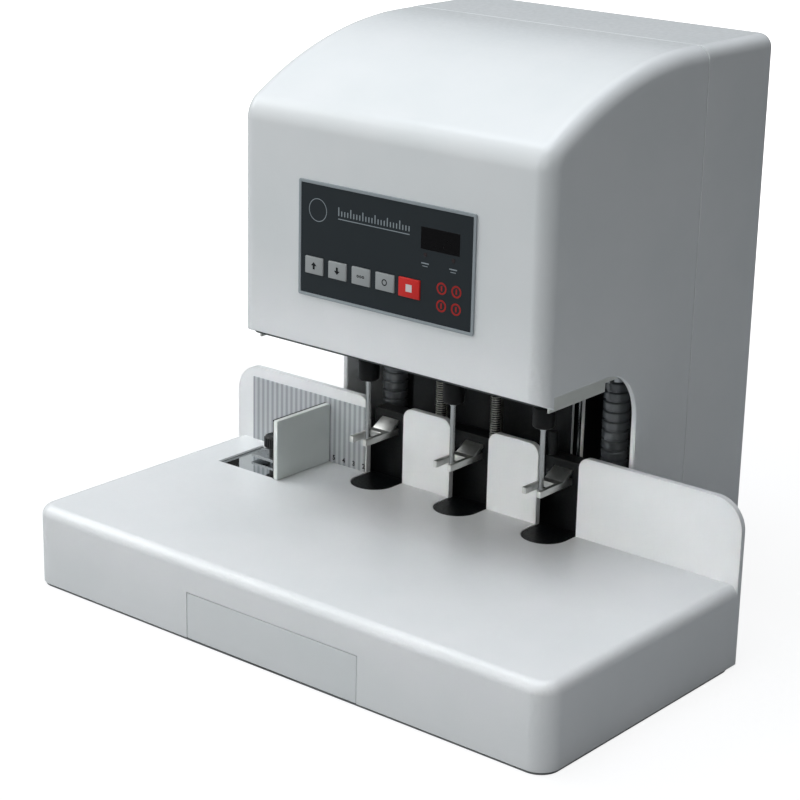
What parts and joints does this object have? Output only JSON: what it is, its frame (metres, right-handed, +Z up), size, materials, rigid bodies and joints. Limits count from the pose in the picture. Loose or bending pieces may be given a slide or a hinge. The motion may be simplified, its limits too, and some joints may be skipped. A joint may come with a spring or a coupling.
{
  "type": "electric paper drill",
  "caption": "Free-standing electric paper drill: moulded table with fence, overhanging head with control panel, side guide, sprung presser forks, ribbed chip hoses and waste drawer.",
  "frame": {"origin": "on the floor below the middle of the machine's bounding box", "axes": "+X to the operator's right along the row of drills, +Y away from the operator, +Z up"},
  "size_m": [0.463, 0.3816, 0.4045],
  "materials": {
    "white_shell": "fine-grained white plastic",
    "steel_sheet": "dark painted steel sheet",
    "rubber": "matt black rubber",
    "pad_plastic": "hard black plastic",
    "dark_plastic": "black plastic",
    "guide_plastic": "light grey plastic",
    "polished_steel": "polished steel",
    "bright_steel": "ground steel",
    "aluminium": "cast aluminium",
    "bronze": "bronze",
    "scale_paint": "printed plate",
    "panel_grey": "grey plastic",
    "panel_dark": "dark foil",
    "key_grey": "light grey plastic",
    "key_red": "red plastic",
    "display_glass": "dark window",
    "lamp": "clear red plastic",
    "board": "green circuit board",
    "hose": "dark grey ribbed plastic",
    "belt": "black belt",
    "motor_case": "dark painted metal",
    "screw_steel": "zinc plated"
  },
  "bodies": {
    "housing": {"table_cover": "white_shell", "base_plate": "steel_sheet", "rubber_feet": "rubber", "cutting_pads": "pad_plastic", "pad_bench": "steel_sheet", "scale_plate": "scale_paint", "front_shell": "white_shell", "rear_shell": "white_shell", "panel_bezel": "panel_grey", "panel_face": "panel_dark", "display": "display_glass", "signal_lamps": "lamp", "panel_board": "board", "bulkhead": "steel_sheet", "cheek_right": "steel_sheet", "cheek_left": "steel_sheet", "top_plate": "steel_sheet", "guide_columns": "bright_steel", "head_pan": "dark_plastic", "hose_left": "hose", "hose_right": "hose", "hose_clamps": "bright_steel", "chip_chutes": "dark_plastic", "feed_motor": "motor_case", "power_inlet": "dark_plastic", "power_supply": "board", "case_screws": "screw_steel"},
    "carriage": {"carriage": "aluminium", "carriage_bushes": "bronze", "spindle_bearings": "bright_steel", "spindle_motor": "motor_case", "drive_belt": "belt", "press_spring_left": "bright_steel", "press_spring_right": "bright_steel"},
    "press": {"press_beam": "steel_sheet", "fork_left": "bright_steel", "fork_middle": "bright_steel", "fork_right": "bright_steel"},
    "motor_pulley": {"motor_pulley": "aluminium"},
    "feed_screw": {"feed_screw": "bright_steel"},
    "drawer": {"chip_drawer": "white_shell"},
    "side_stop": {"guide_slide": "polished_steel", "guide_backing": "bright_steel", "side_guide": "guide_plastic"},
    "clamp_knob": {"clamp_knob": "dark_plastic"},
    "rocker": {"power_rocker": "dark_plastic"},
    "spindle_left": {"spindle_left": "bright_steel", "drill_left": "bright_steel", "pulley_left": "aluminium"},
    "spindle_middle": {"spindle_middle": "bright_steel", "drill_middle": "bright_steel", "pulley_middle": "aluminium"},
    "spindle_right": {"spindle_right": "bright_steel", "drill_right": "bright_steel", "pulley_right": "aluminium"},
    "raise_key": {"raise_key": "key_grey"},
    "lower_key": {"lower_key": "key_grey"},
    "drill_key": {"drill_key": "key_grey"},
    "reset_key": {"reset_key": "key_grey"},
    "stop_key": {"stop_key": "key_red"}
  },
  "joints": [
    {"name": "drill_feed", "type": "slide", "parent": "housing", "child": "carriage", "axis": [0, 0, 1], "range_m": [-0.034, 0.016]},
    {"name": "feed_screw_turn", "type": "hinge", "parent": "housing", "child": "feed_screw", "pos_m": [0, 0.07125, 0.25], "axis": [0, 0, 1], "range_deg": [-2460, 1160]},
    {"name": "press_lift", "type": "slide", "parent": "carriage", "child": "press", "axis": [0, 0, 1], "range_m": [0, 0.034], "stiffness_N_per_m": 400, "springref_m": -0.03, "deforming": ["press_spring_left", "press_spring_right"]},
    {"name": "spindle_middle_spin", "type": "hinge", "parent": "carriage", "child": "spindle_middle", "pos_m": [0, 0.00525, 0.2], "axis": [0, 0, 1], "continuous": true},
    {"name": "spindle_left_spin", "type": "hinge", "parent": "carriage", "child": "spindle_left", "pos_m": [-0.08, 0.00525, 0.2], "axis": [0, 0, 1], "continuous": true},
    {"name": "spindle_right_spin", "type": "hinge", "parent": "carriage", "child": "spindle_right", "pos_m": [0.08, 0.00525, 0.2], "axis": [0, 0, 1], "continuous": true},
    {"name": "motor_spin", "type": "hinge", "parent": "carriage", "child": "motor_pulley", "pos_m": [0.04, -0.03275, 0.3], "axis": [0, 0, 1], "continuous": true},
    {"name": "drawer_pull", "type": "slide", "parent": "housing", "child": "drawer", "axis": [0, -1, 0], "range_m": [0, 0.2]},
    {"name": "side_stop_slide", "type": "slide", "parent": "housing", "child": "side_stop", "axis": [-1, 0, 0], "range_m": [-0.02, 0.024]},
    {"name": "clamp_turn", "type": "hinge", "parent": "side_stop", "child": "clamp_knob", "pos_m": [-0.16899, -0.00075, 0.07], "axis": [0, 0, 1], "range_deg": [0, 180]},
    {"name": "rocker_tilt", "type": "hinge", "parent": "housing", "child": "rocker", "pos_m": [0.084, 0.18675, 0.073], "axis": [1, 0, 0], "range_deg": [0, 8]},
    {"name": "raise_press", "type": "slide", "parent": "housing", "child": "raise_key", "axis": [0, 1, 0], "range_m": [0, 0.0008], "stiffness_N_per_m": 800, "springref_m": -0.0012},
    {"name": "lower_press", "type": "slide", "parent": "housing", "child": "lower_key", "axis": [0, 1, 0], "range_m": [0, 0.0008], "stiffness_N_per_m": 800, "springref_m": -0.0012},
    {"name": "drill_press", "type": "slide", "parent": "housing", "child": "drill_key", "axis": [0, 1, 0], "range_m": [0, 0.0008], "stiffness_N_per_m": 800, "springref_m": -0.0012},
    {"name": "reset_press", "type": "slide", "parent": "housing", "child": "reset_key", "axis": [0, 1, 0], "range_m": [0, 0.0008], "stiffness_N_per_m": 800, "springref_m": -0.0012},
    {"name": "stop_press", "type": "slide", "parent": "housing", "child": "stop_key", "axis": [0, 1, 0], "range_m": [0, 0.0008], "stiffness_N_per_m": 800, "springref_m": -0.0012}
  ],
  "couplings": [
    {"joint": "spindle_left_spin", "follows": "spindle_middle_spin", "ratio": 1},
    {"joint": "spindle_right_spin", "follows": "spindle_middle_spin", "ratio": 1},
    {"joint": "motor_spin", "follows": "spindle_middle_spin", "ratio": 1.5},
    {"joint": "feed_screw_turn", "follows": "drill_feed", "rad_per_m": 1256.6}
  ]
}
